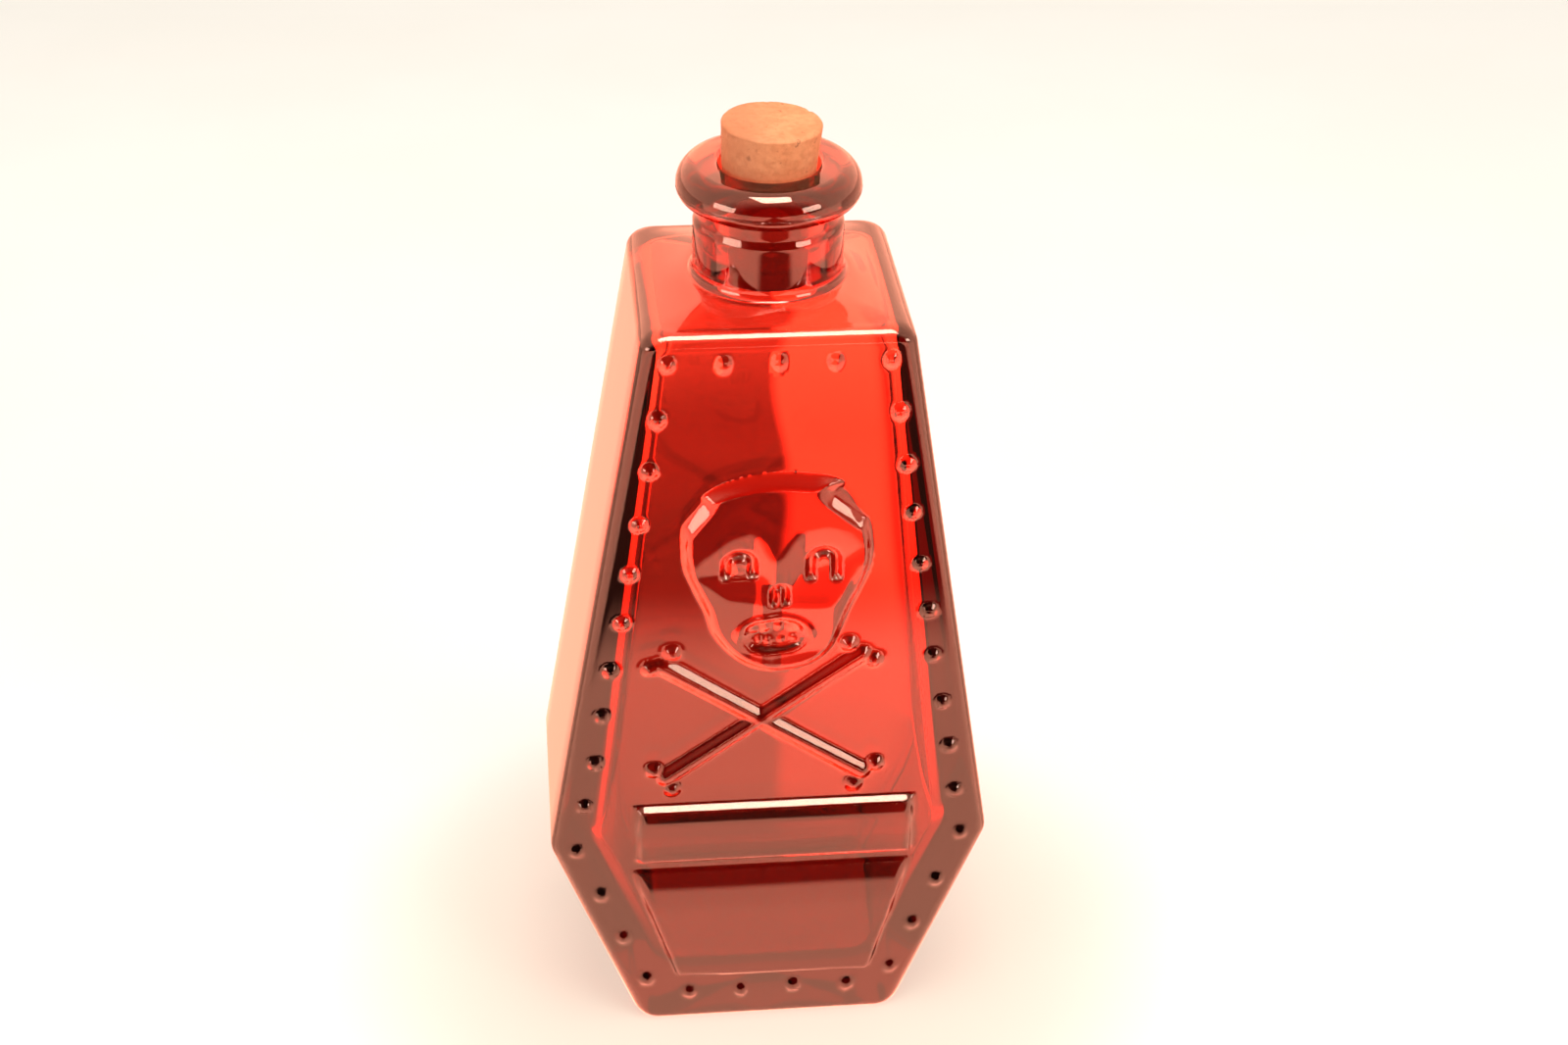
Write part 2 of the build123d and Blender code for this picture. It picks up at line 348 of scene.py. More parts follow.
def pocket(x, z, middle, size, wall):
    """How deep a point lies in a rounded hole, from 0 outside to 1 past its even, sloping wall."""
    across, up = np.abs((x - middle[0]) / size[0]), np.abs((z - middle[1]) / size[1])
    reach = (across**2.6 + up**2.6)**(1 / 2.6)
    return ramp((1 - reach) * min(size) / wall)


def arch(x, z, middle, radius, legs, reach):
    """A soft ridge along an upside-down U: a half circle with straight legs of a given length."""
    across, up = np.abs(x - middle[0]), z - middle[1]
    gap = np.where(up > 0, np.abs(np.hypot(across, up) - radius),
                   np.hypot(across - radius, np.clip(-up - legs, 0, None)))
    return hump(gap, reach, 2)


def skull_form(x, z):
    """The skull's slopes: down from the brow, up to the cheeks, down to the chin and up over it.

    Each is a slope times the way down from its upper line, held between that line and the next.
    """
    brow, socket, cheek = (np.interp(x, *line) for line in (brow_line, socket_line, cheek_line))
    from_brow = 0.085 * np.clip(brow - z, 0, np.clip(brow - socket, 0, None))
    to_cheek = 0.1 * np.clip(socket - z, 0, np.clip(socket - cheek, 0, None))
    to_chin = 0.06 * np.clip(cheek - z, 0, cheek - chin_height)
    over_chin = 0.16 * np.clip(chin_height - z, 0, chin_rise)
    return to_cheek - from_brow - to_chin + over_chin


def skull_crown(x, z, depth):
    """The skull's rim, wider along the top, with a facet cut away on each side above the brow.

    A facet falls evenly outwards from a slanting line, and only inside a blob of its own.
    """
    width = 0.62 + 0.6 * smooth((z - 54) / 2) * smooth((4.5 - x) / 2)
    left = smooth(1.8 * blob(x, z, (-6.6, 53.0), (1.5, 2.7)))
    right = smooth(1.8 * blob(x, z, (5.9, 54.0), (2.0, 2.3)))
    left_cut = skull_rim - 0.03
    right_cut = skull_rim - 0.14 * smooth(depth / 1.2)
    left_slope = ramp((-0.81 * (x + 6.0) + 0.587 * (z - 52.9)) / 0.9)
    right_slope = ramp((0.66 * (x - 4.8) + 0.75 * (z - 53.5)) / 0.99)
    faceted = skull_rim - left_cut * left_slope * left - right_cut * right_slope * right
    return np.minimum(skull_rim * ramp(depth / width), faceted)


def skull_relief(x, z):
    """Height of the skull: the rim, the form inside it, the eyes, the nose and the mouth."""
    depth = depth_inside(x, z, closed_curve(skull_outline, 8))
    near = [(dx, dz) for dx in (-0.3, 0, 0.3) for dz in (-0.22, 0, 0.22)]
    form = sum(skull_form(x + dx, z + dz) for dx, dz in near) / len(near)
    height = skull_crown(x, z, depth) + skull_dome * smooth(depth / 2.4)
    height = height + form * smooth(depth / 0.8)
    for middle, radius, legs, reach, cut in grooves:
        height = height - cut * arch(x, z, middle, radius, legs, reach)
    height = height + 0.1 * hump(np.hypot(x - left_eye[0], z - 48.3), 0.6, 1.5)
    height = height - 0.12 * pocket(x, z, (left_eye[0], 48.1), (1.7, 0.8), 0.4)
    height = height + 0.12 * hump(np.hypot(x - nose[0], z - 45.2), 0.35, 1.5)

    # A ridge for the lips, lower round the chin, and the pocket of the mouth with its teeth
    lips = np.hypot((x - mouth_middle[0]) / lips_size[0], (z - mouth_middle[1]) / lips_size[1])
    upper = 0.35 + 0.65 * smooth((z - 41.4) / 0.9)
    height = height + 0.12 * hump((lips - 1.02) * lips_size[1], 0.5, 1.5) * upper
    height = height - mouth_depth * pocket(x, z, mouth_middle, mouth_size, 0.66)
    for tooth_x, tooth_z, radius in teeth:
        gap = np.hypot(x - tooth_x, (z - tooth_z) * 0.85)
        height = height + tooth_rise * hump(gap, radius, 1.5)
    return np.where(depth > 0, np.clip(height, 0, None), 0)


def bone_relief(x, z):
    """Heights of the crossed bones: two soft ridges, (1 - (d / r)^2)^2, and the knobs."""
    parts = []
    for start, end in bone_ends:
        along = np.subtract(end, start)
        length = np.hypot(*along)
        share = ((x - start[0]) * along[0] + (z - start[1]) * along[1]) / length**2
        held = np.clip(share, 0, 1)
        gap = np.hypot(x - start[0] - held * along[0], z - start[1] - held * along[1])
        parts.append(bone_rise * hump(gap, bone_reach + bone_flare * (2 * held - 1)**2, 2))
    for knob in knobs:
        parts.append(bone_rise * hump(np.hypot(x - knob[0], z - knob[1]), knob_reach, 2))
    return parts


def slab_relief(x, z, corners, height, bevels, crest_rise, crest_reach):
    """Height of a raised slab: the least of its straight bevels, each of a width of its own.

    A bevel rises evenly from a side of the outline, and its foot and its crest are rounded. Below
    the top bevel the slab still rises a little, as 1 - (1 - t)^1.35 over the crest's reach.
    """
    corners = np.array(corners)
    share = np.full_like(x, np.inf)
    for low, high, width in zip(corners, np.roll(corners, -1, 0), bevels):
        along = (high - low) / np.hypot(*(high - low))
        share = np.minimum(share, ((z - low[1]) * along[0] - (x - low[0]) * along[1]) / width)
    crest = 1 - (1 - np.clip((corners[2, 1] - z) / crest_reach, 0, 1))**1.35
    return ramp(share) * (height + crest_rise * crest)


def nail_places():
    """Places (x, z) of the nail heads, a little uneven, in rows inside the edge of the face."""
    top = shoulder_height - nail_inset
    long_z = np.linspace(top, waist_height, long_nails)
    foot_z = np.linspace(waist_height, nail_foot_height, foot_nails + 1)[1:]
    side_z = np.concatenate((long_z, foot_z))
    side_x = half_width(side_z) - nail_inset
    top_x = np.linspace(-side_x[0], side_x[0], top_nails)[1:-1]
    base_x = np.linspace(-nail_base_reach, nail_base_reach, base_nails)
    x = np.concatenate((side_x, -side_x, top_x, base_x))
    z = np.concatenate((side_z, side_z, np.full_like(top_x, top),
                        np.full_like(base_x, nail_base_inset)))
    draw = np.random.default_rng(7)
    return (x + draw.uniform(-nail_drift, nail_drift, len(x)),
            z + draw.uniform(-nail_drift, nail_drift, len(z)))


def nail_relief(x, z):
    """Height of the nail heads: uneven round caps, worn lower between the top corners."""
    draw = np.random.default_rng(11)
    height = np.zeros_like(x)
    for nail_x, nail_z in zip(*nail_places()):
        size = draw.uniform(0.92, 1.05)
        cap = hump(np.hypot(x - nail_x, z - nail_z), nail_radius * size, 0.85)
        worn = nail_z > shoulder_height - 3 and abs(nail_x) < 8
        height = np.maximum(height, (worn_rise if worn else nail_rise) * size * cap)
    return height


def front_relief(x, z):
    """All the raised work, where overlapping forms are joined as (sum of h^5)^(1/5)."""
    forms = [skull_relief(x, z), nail_relief(x, z), *bone_relief(x, z),
             *(slab_relief(x, z, *plate) for plate in plates)]
    return np.clip(sum(form**5 for form in forms)**0.2, 0, relief_limit)


def ripple(x, y, z, size, seed):
    """Slow waves of moulded glass between -1 and 1: the mean of six sines in drawn directions."""
    draw = np.random.default_rng(seed)
    total = 0
    for _ in range(6):
        way = draw.normal(size=3)
        way /= np.linalg.norm(way)
        wave = draw.uniform(0.7, 1.5) * 2 * np.pi / size
        along = way[0] * x + way[1] * y + way[2] * z
        total = total + np.sin(wave * along + draw.uniform(0, 6.3))
    return total / 6


# Rows up the body (height, spacing) and columns across its front (share of the half width,
# relative spacing), closer where the front has raised work
body_rows = (
    (base_corner, 0.32), (16.2, 0.32), (16.5, 0.14), (17.65, 0.14), (18, 0.28), (23.7, 0.28),
    (23.85, 0.08), (24.65, 0.08), (24.9, 0.2), (25.5, 0.22), (40.5, 0.22), (41, 0.17),
    (57.4, 0.17), (58, 0.34), (shoulder_height - shoulder_corner, 0.34),
)
front_columns = ((-1, 1.8), (-0.72, 1.8), (-0.66, 1), (0.66, 1), (0.72, 1.8), (1, 1.8))
front_spacing, band_width, wave_depth = 0.0145, 2.4, 0.05


def body_grid():
    """Rows of the outside, from the base's middle, up the body and in to the neck's foot."""
    band = np.linspace(0, band_width, 12)
    columns = ring_columns(spread(front_columns, front_spacing), band, 16, 6, 5)
    turn = np.linspace(0, np.pi / 2, 10)
    foot = base_corner * (1 - np.cos(turn))
    top = shoulder_height - shoulder_corner * (1 - np.sin(turn))
    heights = np.concatenate((foot[:-1], spread(body_rows)[:-1], top))
    wide = coffin_half_width(heights, (base_width / 2, 0), (waist_width / 2, waist_height),
                             (shoulder_width / 2, shoulder_height),
                             (base_corner, waist_corner, shoulder_corner))
    front_deep, back_deep = (
        edge_depth(heights, 0, shoulder_height, body_depth / 2, foot_edge, edge)
        for edge in (face_edge, back_edge))
    corner = np.full_like(heights, face_edge)
    faces_back = (columns[3] > 0)[None, :, None]
    body = np.where(faces_back, rings(columns, wide, back_deep, corner, heights),
                    rings(columns, wide, front_deep, corner, heights))

    # Raised work on the front, and slow waves that only go inwards
    x, y, z = body[..., 0], body[..., 1], body[..., 2]
    fade = smooth(np.minimum(z, shoulder_height - z) / 7)
    sunk = wave_depth * fade * (1 + ripple(x, y, z, 16, 3)) / 2
    body[..., 1] += np.where(columns[3] < 0, sunk, 0) * (columns[4] == 0)
    body[..., 1] -= np.where((columns[3] == 1) & (columns[4] == 0), sunk, 0)
    front = np.flatnonzero(columns[3] + np.abs(columns[4]) == -1)
    body[:, front, 1] -= front_relief(x[:, front], z[:, front])

    # Base: flat ring to stand on, with a slight hollow inside it
    shrink = np.array((0.15, 0.4, 0.65, 0.82, 0.93))[:, None, None]
    base = body[:1] * shrink
    base[..., 2] = base_rise * (1 - smooth(shrink[..., 0] / 0.8))
    pole_low = np.array([[0, 0, base_rise]])

    # Top of the shoulder, from the rounded edge in to a circle round the neck's foot
    edge = body[-1]
    angles = np.arctan2(edge[:, 1], edge[:, 0])
    reach = neck_radius + step_rise + neck_foot_reach + 0.25
    circle = reach * np.stack((np.cos(angles), np.sin(angles)), 1)
    share = np.array((0.05, 0.15, 0.3, 0.45, 0.6, 0.75, 0.9, 1.0))[:, None, None]
    shoulder = np.empty((len(share), len(edge), 3))
    shoulder[..., :2] = edge[:, :2] * (1 - share) + circle * share
    swell = np.clip(share[..., 0] * 1.1 - 0.05, 0, 1)
    shoulder[..., 2] = shoulder_height + shoulder_swell * swell
    return pole_low, np.concatenate((base, body, shoulder)), angles


def neck_profile():
    """Points (radius, height) from the neck's foot up, over the lip and down the bore."""
    lip_under = mouth_height - lip_thickness
    rim_height, throat_height = mouth_height - mouth_round, hollow_top + ceiling_rise + throat_round
    rim_radius, throat_radius = bore_radius(rim_height), bore_radius(throat_height)
    foot_height, foot_radius = shoulder_height + shoulder_swell, neck_radius + step_rise
    foot_curve = arc((1, 1), 1, 270, 180, 11) * (neck_foot_reach, neck_foot_rise)
    neck_heights = np.linspace(foot_height + neck_foot_rise, lip_under - 0.1, 31)[1:]
    step = smooth((step_height - neck_heights) / step_reach + 0.5)
    lip_top = (arc((0, 0), 1, 0, 90, 21) * (lip_top_width, lip_top_drop)
               + (lip_radius - lip_top_width, mouth_height - lip_top_drop))
    bore_heights = np.linspace(rim_height, throat_height, 16)[1:-1]
    return np.concatenate((
        [(foot_radius + neck_foot_reach + 0.08, foot_height)],
        foot_curve + (foot_radius, foot_height),
        np.stack((neck_radius + step_rise * step, neck_heights), 1),
        arc((lip_radius - lip_under_round, lip_under + lip_under_round),
            lip_under_round, -85, 0, 9),
        lip_top,
        [((lip_top[-1, 0] + rim_radius + mouth_round) / 2, mouth_height)],
        arc((rim_radius + mouth_round, rim_height), mouth_round, 90, 180, 8),
        np.stack((bore_radius(bore_heights), bore_heights), 1),
        arc((throat_radius + throat_round, throat_height), throat_round, 180, 270, 8),
    ))


# Rows down the hollow's sides (height, spacing), closer round the waist
hollow_rows = ((floor_wall + hollow_corner, 1.2), (16, 1.2), (18, 0.45), (21.5, 0.45), (23.5, 1.2),
               (hollow_top - hollow_top_corner, 1.2))


def hollow_grid():
    """Rows of the hollow's sides from the ceiling down, with slow waves out and in."""
    columns = ring_columns(np.linspace(-1, 1, 27), (), 26, 12, 10)
    turn = np.linspace(0, np.pi / 2, 10)
    top = hollow_top - hollow_top_corner * (1 - np.cos(turn))
    foot = floor_wall + hollow_corner * (1 - np.sin(turn))
    heights = np.concatenate((top, spread(hollow_rows)[::-1][1:-1], foot))
    inner_foot = half_width(floor_wall) - side_wall_floor
    inner_waist = half_width(waist_height) - side_wall_waist
    inner_top = half_width(hollow_top) - side_wall_top
    wide = coffin_half_width(heights, (inner_foot, floor_wall), (inner_waist, waist_height),
                             (inner_top, hollow_top),
                             (hollow_corner, hollow_corner, hollow_top_corner))
    wall = np.interp(heights, (60, hollow_top), (face_wall, face_wall_top))
    deep = edge_depth(heights, floor_wall, hollow_top, body_depth / 2 - wall,
                      hollow_edge, hollow_top_edge)
    upright = np.interp(heights, (waist_height, 50, hollow_top), (hollow_edge, 1.6, 1.1))
    hollow = rings(columns, wide, deep, upright, heights)
    x, y, z = hollow[..., 0], hollow[..., 1], hollow[..., 2]
    wave = ripple(x, y, z, 14, 5) * smooth(np.minimum(z - floor_wall, hollow_top - z) / 4)
    hollow[..., 0] += 0.1 * wave * np.sign(x)
    hollow[..., 1] += 0.12 * wave * np.sign(y)
    return hollow


def inside_grid():
    """Rows from the neck's foot up, over the lip, down the bore and round the hollow."""
    # The hollow's ceiling runs from the bore out to the top of its sides, a little uneven
    hollow = hollow_grid()
    ceiling = hollow[0]
    angles = np.arctan2(ceiling[:, 1], ceiling[:, 0])
    neck = turned(neck_profile(), angles)
    share = np.array((0.08, 0.2, 0.35, 0.5, 0.65, 0.8, 0.92))[:, None, None]
    roof = neck[-1] * (1 - share) + ceiling * share
    uneven = ripple(*np.moveaxis(roof, 2, 0), 6.0, 8)
    roof[..., 2] += 0.16 * uneven * (share * (1 - share))[..., 0]

    # Floor of the hollow, in to its middle
    share = np.array((0.9, 0.6, 0.25))[:, None, None]
    floor = hollow[-1:] * share
    floor[..., 2] = floor_wall + floor_rise * (1 - share[..., 0])
    pole = np.array([[0, 0, floor_wall + floor_rise]])
    return np.concatenate((neck, roof, hollow, floor)), angles, pole


def build_glass():
    """The whole bottle as one closed skin: outside, lip, bore and hollow."""
    pole_low, outside, outer_angles = body_grid()
    inside, inner_angles, pole_high = inside_grid()
    rows_out, columns_out = outside.shape[:2]
    rows_in, columns_in = inside.shape[:2]
    first_out = 1
    first_in = first_out + rows_out * columns_out
    last = first_in + rows_in * columns_in
    points = np.concatenate((pole_low, outside.reshape(-1, 3), inside.reshape(-1, 3), pole_high))
    quads = np.concatenate((grid_faces(rows_out, columns_out, first_out),
                            grid_faces(rows_in, columns_in, first_in)))
    outer_ring = first_in - columns_out + np.arange(columns_out)
    triangles = np.concatenate((
        fan_faces(first_out + np.arange(columns_out), 0, True),
        zip_faces(outer_ring, outer_angles, first_in + np.arange(columns_in), inner_angles),
        fan_faces(last - columns_in + np.arange(columns_in), last, False),
    ))
    return mesh_piece("ruby_bottle", points, quads, triangles)


def build_cork():
    """A tapered cork with rubbed rims and pits, closed by a pole in the middle of each end."""
    angles = np.linspace(0, 2 * np.pi, 160, endpoint=False)
    tip = cork_top_height - cork_length
    side = np.linspace(tip + cork_rim, cork_top_height - cork_rim, 90)
    side_radius = cork_top_radius - cork_taper * (cork_top_height - side) - cork_shave
    tip_reach, top_reach = cork_tip_radius - cork_rim, cork_top_radius - cork_rim
    profile = np.concatenate((
        np.stack((np.linspace(0.2, tip_reach, 12), np.full(12, tip)), 1),
        arc((tip_reach - cork_shave, tip + cork_rim), cork_rim, 270, 350, 5),
        np.stack((side_radius, side), 1),
        arc((top_reach - cork_shave, cork_top_height - cork_rim), cork_rim, 10, 90, 6),
        np.stack((np.linspace(top_reach - 0.1, 0.2, 26), np.full(26, cork_top_height)), 1),
    ))
    body = turned(profile, angles)
    rows, columns = body.shape[:2]
    poles = np.array([[0, 0, tip], [0, 0, cork_top_height]])
    points = np.concatenate((poles[:1], body.reshape(-1, 3), poles[1:]))
    points = weather_cork(points, tip)
    ring = np.arange(columns)
    triangles = np.concatenate((
        fan_faces(1 + ring, 0, True),
        fan_faces(1 + (rows - 1) * columns + ring, 1 + rows * columns, False)))
    return mesh_piece("natural_cork", points, grid_faces(rows, columns, 1), triangles)


def weather_cork(points, tip):
    """Pits and a fine unevenness pressed into a cork, whose proud part leans a little askew.

    A pit is a round dent drawn at random on the skin. Each point moves inwards by the deepest
    depth * (1 - (distance / radius)^2)^2 of all the pits. Above the mouth, the points are moved
    across and lowered more towards +x, by a share that grows from 0 there to 1 at the top.
    """
    draw = np.random.default_rng(23)
    middle = np.array((0, 0, (tip + cork_top_height) / 2))
    inward = middle - points
    inward[:, 2] *= 0.35
    inward /= np.maximum(np.linalg.norm(inward, axis=1), 0.001)[:, None]
    dents = np.zeros(len(points))
    for _ in range(pit_count):
        angle, height = draw.uniform(0, 2 * np.pi), draw.uniform(tip + 1, cork_top_height)
        on_top = draw.uniform() < 0.35
        reach = cork_top_radius * (np.sqrt(draw.uniform()) if on_top else 1)
        place = (reach * np.cos(angle), reach * np.sin(angle),
                 cork_top_height if on_top else height)
        size = draw.uniform(0.14, 0.42)
        gap = np.linalg.norm(points - place, axis=1) / size
        dents = np.maximum(dents, draw.uniform(0.06, 0.2) * np.clip(1 - gap**2, 0, 1)**2)
    rough = 0.02 + 0.02 * ripple(*points.T, 1.1, 9) + 0.015 * ripple(*points.T, 0.5, 10)
    points = points + inward * (dents + np.clip(rough, 0, None))[:, None]
    proud = np.clip((points[:, 2] - mouth_height) / cork_proud, 0, 1)
    points[:, 2] -= proud * cork_slant * (points[:, 0] + cork_top_radius)
    points[:, :2] += proud[:, None] * cork_shift
    return points


# Shader maths
class Wire:
    """One output of a node, so that sums on it are written as plain expressions."""

    def __init__(self, paint, socket):
        self.paint = paint
        self.socket = socket

    def math(self, operation, *values):
        return self.paint.node("ShaderNodeMath", {"operation": operation}, dict(enumerate(values)))

    def __add__(self, other):
        return self.math("ADD", self, other)

    def __sub__(self, other):
        return self.math("SUBTRACT", self, other)

    def __rsub__(self, other):
        return self.math("SUBTRACT", other, self)

    def __mul__(self, other):
        return self.math("MULTIPLY", self, other)

    def step(self, low, high):
        """0 below one value and 1 above another, smooth between them."""
        settings = {"interpolation_type": "SMOOTHSTEP"}
        sockets = {"Value": self, "From Min": low, "From Max": high,
                   "To Min": 0.0, "To Max": 1.0}
        return self.paint.node("ShaderNodeMapRange", settings, sockets)


class Paint:
    """A node tree that starts empty."""

    def __init__(self, owner):
        owner.use_nodes = True
        self.tree = owner.node_tree
        self.tree.nodes.clear()

    def node(self, kind, settings=None, sockets=None, output=0):
        """Any node: its settings are set first, then its sockets get values or links."""
        made = self.tree.nodes.new(kind)
        for name, value in (settings or {}).items():
            setattr(made, name, value)
        for name, value in (sockets or {}).items():
            if isinstance(value, Wire):
                self.tree.links.new(value.socket, made.inputs[name])
            else:
                made.inputs[name].default_value = value
        return Wire(self, made.outputs[output]) if len(made.outputs) else made

    def place(self, name="Object"):
        """Coordinates of the point, which in Object are metres in the piece's own frame."""
        return self.node("ShaderNodeTexCoord", output=name)

    def noise(self, size, detail=3.0, rough=0.5):
        """Noise whose grain is about the given size in metres."""
        sockets = {"Vector": self.place(), "Scale": 1 / size,
                   "Detail": detail, "Roughness": rough}
        return self.node("ShaderNodeTexNoise", {}, sockets, "Fac")

    def parts(self, vector, names):
        """The named parts of a vector, such as X and Y."""
        return [self.node("ShaderNodeSeparateXYZ", {}, {"Vector": vector}, name)
                for name in names]

    def ray(self, name):
        """An output of the Light Path node, such as Is Camera Ray."""
        return self.node("ShaderNodeLightPath", output=name)

    def rays(self):
        """Masks of rays mirrored at a surface, of rays out of glass, and of light that lights."""
        glossy, through = self.ray("Is Glossy Ray"), self.ray("Is Transmission Ray")
        bounces = self.ray("Diffuse Depth")
        return glossy * (1 - through), through, bounces.math("MINIMUM", bounces, 1.0)

    def emission(self, strength, colour):
        """A shader that gives light."""
        return self.node("ShaderNodeEmission", {}, {"Color": colour, "Strength": strength})

    def choose(self, share, first, second):
        """A shader between two others."""
        return self.node("ShaderNodeMixShader", {}, {0: share, 1: first, 2: second})

    def mix(self, share, first, second):
        """A colour between two others."""
        first, second = ((*c, 1) if isinstance(c, tuple) else c for c in (first, second))
        sockets = {"Factor": share, 6: first, 7: second}
        return self.node("ShaderNodeMix", {"data_type": "RGBA"}, sockets, 2)


# The glass absorbs light by density * (1 - colour) per metre. Its shadow has a tint of its own.
ruby_depth_colour, ruby_density = (0.826, 0.179, 0.045, 1), 950.0
ruby_shadow_colour = (0.95, 0.94, 0.93, 1)


def ruby_glass():
    """Clear ruby glass, coloured by the depth of glass that the light goes through.

    Rays for shadows go straight through it, so that lamps light the floor and the cork.
    """
    material = bpy.data.materials.new("ruby_glass")
    paint = Paint(material)
    body = paint.node("ShaderNodeBsdfPrincipled", {}, {
        "Base Color": (1, 1, 1, 1), "Roughness": 0.0, "IOR": 1.5, "Transmission Weight": 1.0})
    clear = paint.node("ShaderNodeBsdfTransparent", {}, {"Color": ruby_shadow_colour})
    surface = paint.choose(paint.ray("Is Shadow Ray"), body, clear)
    depth = paint.node("ShaderNodeVolumeAbsorption", {}, {
        "Color": ruby_depth_colour, "Density": ruby_density})
    paint.node("ShaderNodeOutputMaterial", {}, {"Surface": surface, "Volume": depth})
    return material


# Cork: colours, and the places (metres) and radii of the pits that are seen from the front
pale_tan, warm_tan, brown = (0.66, 0.24, 0.095), (0.74, 0.31, 0.135), (0.5, 0.17, 0.06)
fleck_brown, shade_brown = (0.2, 0.055, 0.02), (0.4, 0.15, 0.065)
pit_brown, seated_painted_shade = (0.1, 0.03, 0.012), (0.13, 0.035, 0.014)
front_pits = (
    ((-0.0022, -0.0034, 0.0821), 0.00035), ((-0.0021, -0.0034, 0.0809), 0.00045),
    ((0.0009, -0.0039, 0.0818), 0.0004), ((-0.0031, -0.0024, 0.0804), 0.0003),
)


def cork_skin():
    """Natural cork: warm tan with fine grain and dark flecks, darker to the left as painted shade.

    Four pits are dark, and the part that sits in the neck is darkened as painted shade.
    """
    material = bpy.data.materials.new("natural_cork")
    paint = Paint(material)
    grain = paint.noise(0.0006, 6.0, 0.6)
    broad = paint.noise(0.0028, 3.0, 0.5)
    fleck = paint.noise(0.00095, 4.0, 0.65)
    tan = paint.mix(broad.step(0.35, 0.65), pale_tan, warm_tan)
    tan = paint.mix(grain.step(0.35, 0.7) * 0.6, tan, brown)
    tan = paint.mix(fleck.step(0.62, 0.72) * 0.8, tan, fleck_brown)
    across, height = paint.parts(paint.place(), "XZ")
    # Painted shade: the cork is darkened towards -x, its left side
    tan = paint.mix(across.step(0.002, -0.003) * 0.6, tan, shade_brown)
    for place, size in front_pits:
        gap = paint.node("ShaderNodeVectorMath", {"operation": "DISTANCE"},
                         {0: paint.place(), 1: place}, 1)
        pit = (gap + grain * 0.0004).step(size * 1.4, size * 0.9)
        tan = paint.mix(pit * 0.85, tan, pit_brown)
    # Painted shade on the part that sits in the neck, which little light reaches through the glass
    tan = paint.mix(height.step(0.0793, 0.0772) * 0.8, tan, seated_painted_shade)
    bump = paint.node("ShaderNodeBump", {}, {
        "Strength": 0.6, "Distance": 0.0001, "Height": grain})
    body = paint.node("ShaderNodeBsdfPrincipled", {}, {
        "Base Color": tan, "Roughness": 0.75, "Normal": bump})
    paint.node("ShaderNodeOutputMaterial", {}, {"Surface": body})
    return material


# Light that the glass shows, light that lights, and the colour of the painted glow round the foot,
# which stands for light through the red glass
warm_light, white_light = (1, 0.352, 0.225, 1), (1, 0.965, 0.91, 1)
painted_glow_light, painted_glow_tint = (1.0, 0.83, 0.68, 1), (1.0, 0.7, 0.55)
floor_grey, floor_white = (0.93, 0.905, 0.86), (0.95, 0.925, 0.885)


def floor_paint():
    """Matt warm white with a painted glow round the foot, for the light through the red glass.
    Glass shows a bright warm table instead.

    Looked at through the glass, it is dark under the bottle as a painted shadow, dim behind its
    left half and bright elsewhere. Mirrored, it is bright but for the dark room in front.
    """
    material = bpy.data.materials.new("pale_floor")
    paint = Paint(material)
    mirrored, through, bounced = paint.rays()
    camera = paint.ray("Is Camera Ray")
    x, y = paint.parts(paint.node("ShaderNodeNewGeometry", output="Position"), "XY")
    reach = x * x + y * y

    # What the camera and the light meet
    mottle = paint.noise(0.05, 3.0, 0.5).step(0.3, 0.7)
    white = paint.mix(mottle, floor_grey, floor_white)
    # A painted glow: round the foot the floor is tinted and given light for camera rays, for the
    # light that the red glass lets through
    painted_glow_mask = (x * x + y * y * 1.2).step(0.044**2, 0.016**2)
    white = paint.mix(camera * painted_glow_mask * 0.5, white, painted_glow_tint)
    lit = paint.node("ShaderNodeBsdfDiffuse", {}, {"Color": white})
    lit = paint.choose(camera * painted_glow_mask * 0.65, lit, paint.emission(1.0, painted_glow_light))

    # What is seen through the glass, and what it mirrors
    dim = (x - y * 0.111).step(0.0026, 0.0006) * y.step(0.0, 0.01) * x.step(-0.07, -0.05)
    # Seen through the glass, the floor within about 13 mm of the middle is nearly dark: a painted
    # shadow under the bottle
    nearby, further = reach.step(0.013**2, 0.027**2), reach.step(0.035**2, 0.075**2)
    distant = reach.step(0.07**2, 0.125**2)
    behind = nearby * (1.2 - dim * 0.75) + further * (4.0 - dim * 4.35) + distant * dim * 1.3
    room = y.step(-0.062, -0.08) * x.step(-0.06, -0.035) * x.step(0.085, 0.06)
    front = (1 - room) * (6.0 - y.step(-0.012, 0.004) * 3.5)
    shown = paint.choose(mirrored, paint.emission(behind + 0.15, warm_light),
                         paint.emission(front + 0.3, warm_light))
    surface = paint.choose((mirrored + through) * (1 - bounced), lit, shown)
    paint.node("ShaderNodeOutputMaterial", {}, {"Surface": surface})
    return material


# Lamps: name, place and size in metres, power in watts, colour, and whether it is only mirrored
lamp_white, lamp_pink = (1, 0.95, 0.88), (1, 0.6, 0.45)
lamps = (
    ("overhead", (0.02, -0.13, 0.68), (0.32, 0.36), 4.2, lamp_white, False),
    ("left_softbox", (-0.43, -0.25, 0.16), (0.25, 0.14), 0.9, lamp_white, False),
    ("right_softbox", (0.36, -0.33, 0.22), (0.21, 0.12), 0.9, lamp_white, False),
    ("overhead_glint", (0.02, -0.125, 0.655), (0.29, 0.35), 12.0, lamp_pink, True),
    ("left_glint", (-0.413, -0.24, 0.156), (0.24, 0.16), 1.9, lamp_pink, True),
    ("right_glint", (0.346, -0.317, 0.204), (0.2, 0.15), 1.7, lamp_pink, True),
)
lamp_target, floor_reach, floor_drop = (0, 0, 0.07), 3.0, 0.00002


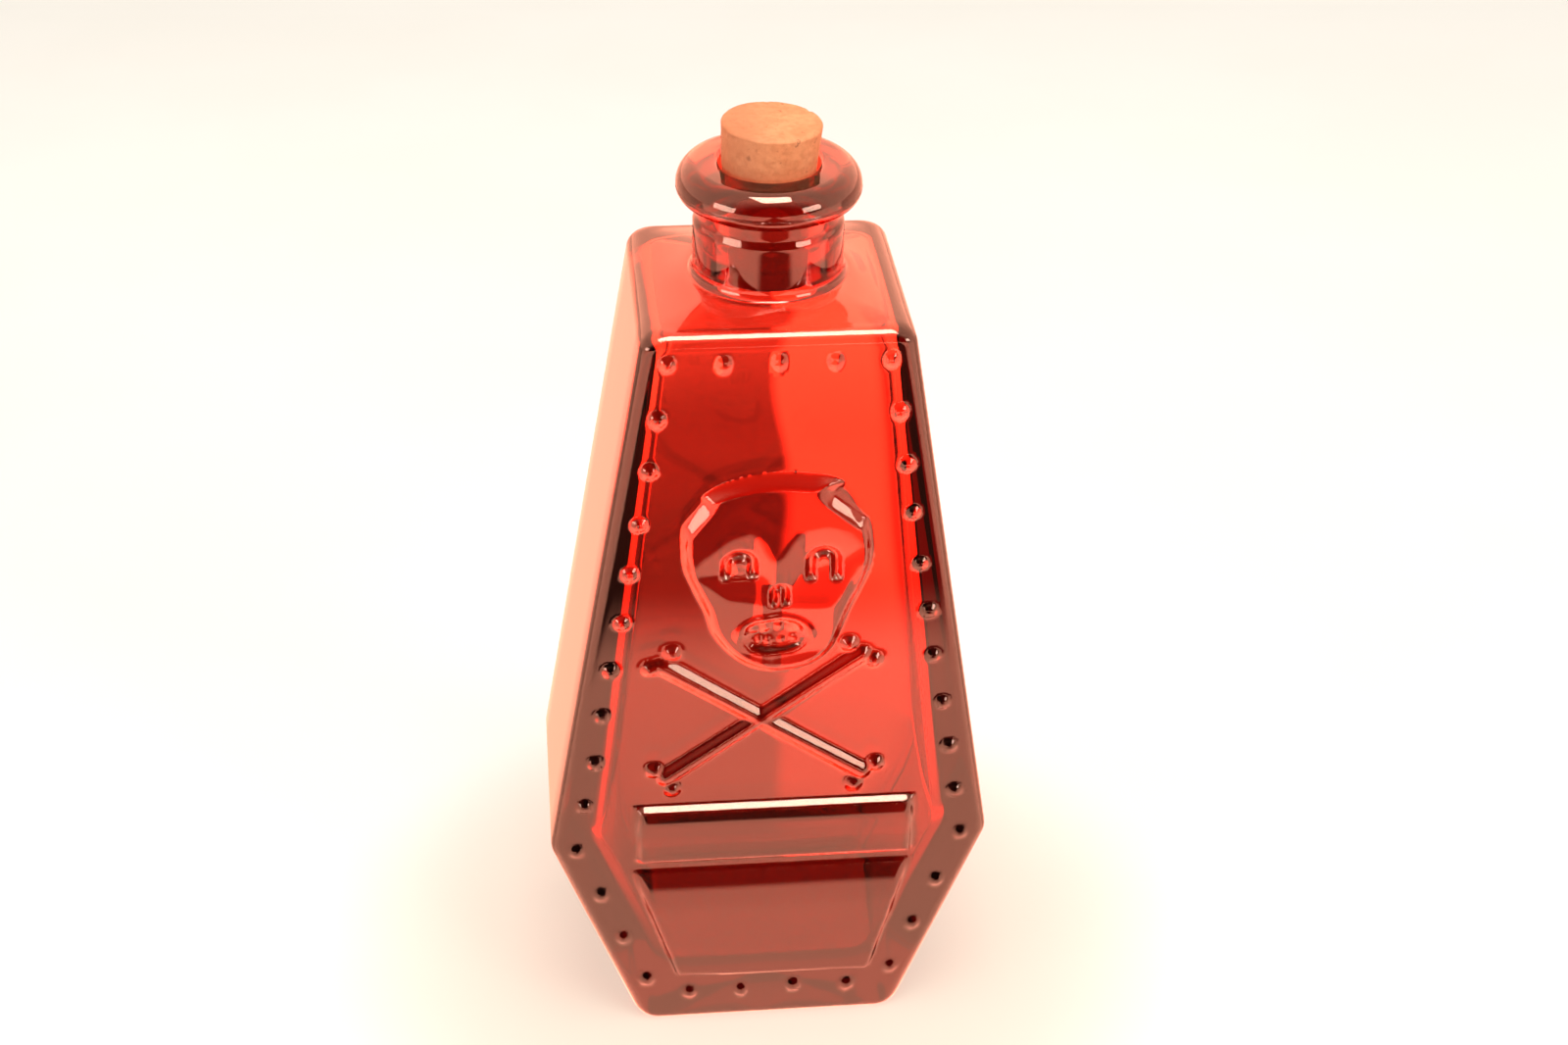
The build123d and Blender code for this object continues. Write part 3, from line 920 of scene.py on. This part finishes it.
def build_floor():
    """A square floor just below the base."""
    mesh = bpy.data.meshes.new("floor")
    corners = [(-1, -1), (1, -1), (1, 1), (-1, 1)]
    mesh.from_pydata([(x * floor_reach, y * floor_reach, 0) for x, y in corners], [],
                     [(0, 1, 2, 3)])
    floor = bpy.data.objects.new("floor", mesh)
    bpy.context.scene.collection.objects.link(floor)
    floor.location.z = -floor_drop
    floor.data.materials.append(floor_paint())


def build_world():
    """White surroundings, warm where the glass shows them and dark on the camera's side."""
    world = bpy.data.worlds.new("surroundings")
    bpy.context.scene.world = world
    paint = Paint(world)
    mirrored, through, bounced = paint.rays()
    way, = paint.parts(paint.place("Generated"), "Y")
    seen = (mirrored + through) * (way.step(-0.85, -0.3) * 5.0 + 0.1)
    shown = paint.node("ShaderNodeBackground", {}, {"Color": warm_light, "Strength": seen})
    soft = bounced * (way.step(-0.9, -0.1) * 0.34 + 0.12)
    light = paint.node("ShaderNodeBackground", {}, {
        "Color": white_light, "Strength": soft + paint.ray("Is Camera Ray")})
    both = paint.choose((mirrored + through) * (1 - bounced), light, shown)
    paint.node("ShaderNodeOutputWorld", {}, {"Surface": both})


def build_lamp(name, place, size, power, colour, only_mirrored):
    """A soft rectangular lamp facing the neck, which either lights or is mirrored in the glass."""
    light = bpy.data.lights.new(name, "AREA")
    light.shape = "RECTANGLE"
    light.size, light.size_y = size
    light.energy = power
    light.color = colour
    made = bpy.data.objects.new(name, light)
    made.location = place
    facing = (Vector(lamp_target) - Vector(place)).to_track_quat("-Z", "Y")
    made.rotation_euler = facing.to_euler()
    made.visible_camera = False
    made.visible_diffuse = not only_mirrored
    made.visible_glossy, made.visible_transmission = only_mirrored, False
    bpy.context.scene.collection.objects.link(made)


def build_camera():
    """The photograph's view: a target, a distance, a turn, a pitch and a slight roll."""
    target, distance = np.array((1.72773, 0, 46.03142)), 218.968
    yaw, pitch, roll = -0.11256, 0.5611, 0.02066
    forward = np.array((-np.sin(yaw) * np.cos(pitch), np.cos(yaw) * np.cos(pitch),
                        -np.sin(pitch)))
    level = np.array((np.cos(yaw), np.sin(yaw), 0))
    above = np.cross(level, forward)
    right = np.cos(roll) * level + np.sin(roll) * above
    up = np.cos(roll) * above - np.sin(roll) * level
    data = bpy.data.cameras.new("camera")
    data.sensor_fit, data.sensor_width, data.lens = "HORIZONTAL", 36, 59.56
    data.clip_start, data.clip_end = 0.005, 20
    camera = bpy.data.objects.new("camera", data)
    turned_to = Matrix(np.stack((right, up, -forward), 1).tolist()).to_4x4()
    place = Matrix.Translation((target - forward * distance) * MM)
    camera.matrix_world = place @ turned_to
    bpy.context.scene.collection.objects.link(camera)
    bpy.context.scene.camera = camera


bpy.context.scene.view_settings.view_transform = "Standard"
build_camera()

bottle = build_glass()
bottle.data.materials.append(ruby_glass())
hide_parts("glass_bottle")
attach(bottle, "bottle")

cork = build_cork()
cork.data.materials.append(cork_skin())
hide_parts("cork_stopper")
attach(cork, "cork")

build_floor()
build_world()
for lamp in lamps:
    build_lamp(*lamp)
